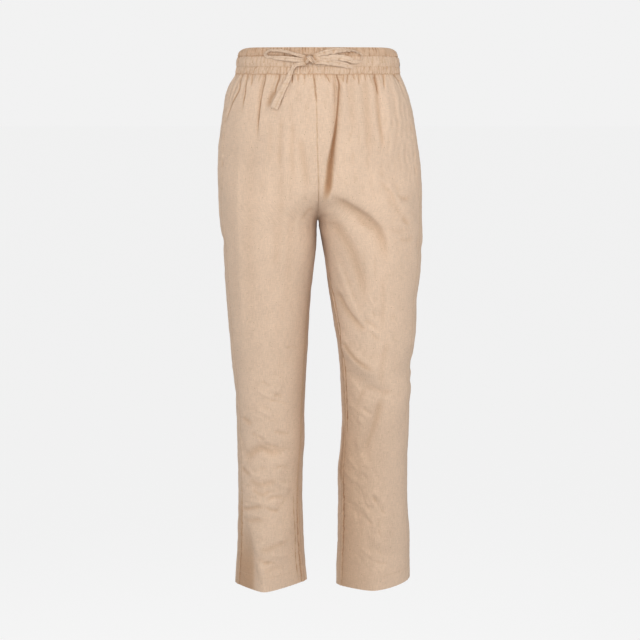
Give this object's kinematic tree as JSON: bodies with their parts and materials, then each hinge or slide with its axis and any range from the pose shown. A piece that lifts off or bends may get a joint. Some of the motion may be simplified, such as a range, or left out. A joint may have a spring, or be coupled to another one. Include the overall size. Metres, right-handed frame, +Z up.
{
  "type": "drawstring trousers",
  "caption": "Straight-legged linen trousers with a ruched waistband, a tied drawstring and side-seam pockets, filled out as when worn.",
  "frame": {"origin": "middle of the waist, half way up the waistband, where the wearer's waist holds the garment", "axes": "+Z up along the garment, -Y out of the front, +X to the wearer's left"},
  "size_m": [0.3873, 0.2656, 1.0375],
  "materials": {
    "linen": "matt plain-weave linen, sand",
    "pocketing": "matt light pocket cloth",
    "linen_tie": "matt flat linen tie, sand"
  },
  "bodies": {
    "root": {"front_right": "linen", "front_left": "linen", "back_right": "linen", "back_left": "linen", "waistband": "linen", "pocket_bag_right": "pocketing", "pocket_bag_left": "pocketing", "bow_knot": "linen_tie", "bow_loop_right": "linen_tie", "bow_loop_left": "linen_tie", "tie_end_right": "linen_tie", "tie_end_left": "linen_tie"}
  },
  "joints": []
}
